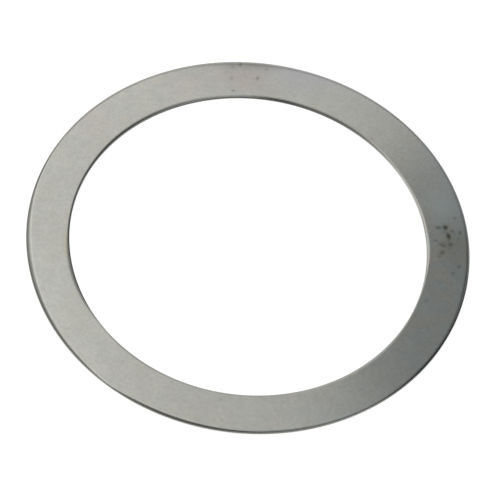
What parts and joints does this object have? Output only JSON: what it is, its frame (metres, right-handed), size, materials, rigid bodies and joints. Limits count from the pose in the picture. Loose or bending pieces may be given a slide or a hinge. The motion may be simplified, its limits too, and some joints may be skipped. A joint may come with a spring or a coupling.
{
  "type": "shim ring",
  "caption": "Thin flat steel ring that goes over a shaft and drops into a bored housing, to take up end play beside a bearing or gear.",
  "frame": {"origin": "middle of the hole, on the lower face", "axes": "+Z along the ring's axis, up from the lower face to the face whose two edges are rolled over; X and Y lie in the lower face"},
  "size_m": [0.0498, 0.0498, 0.0005],
  "materials": {
    "strip_steel": "bright cold-rolled strip steel, bare, dull satin, with a few fine rust spots"
  },
  "bodies": {
    "root": {"shim_ring": "strip_steel"}
  },
  "joints": []
}
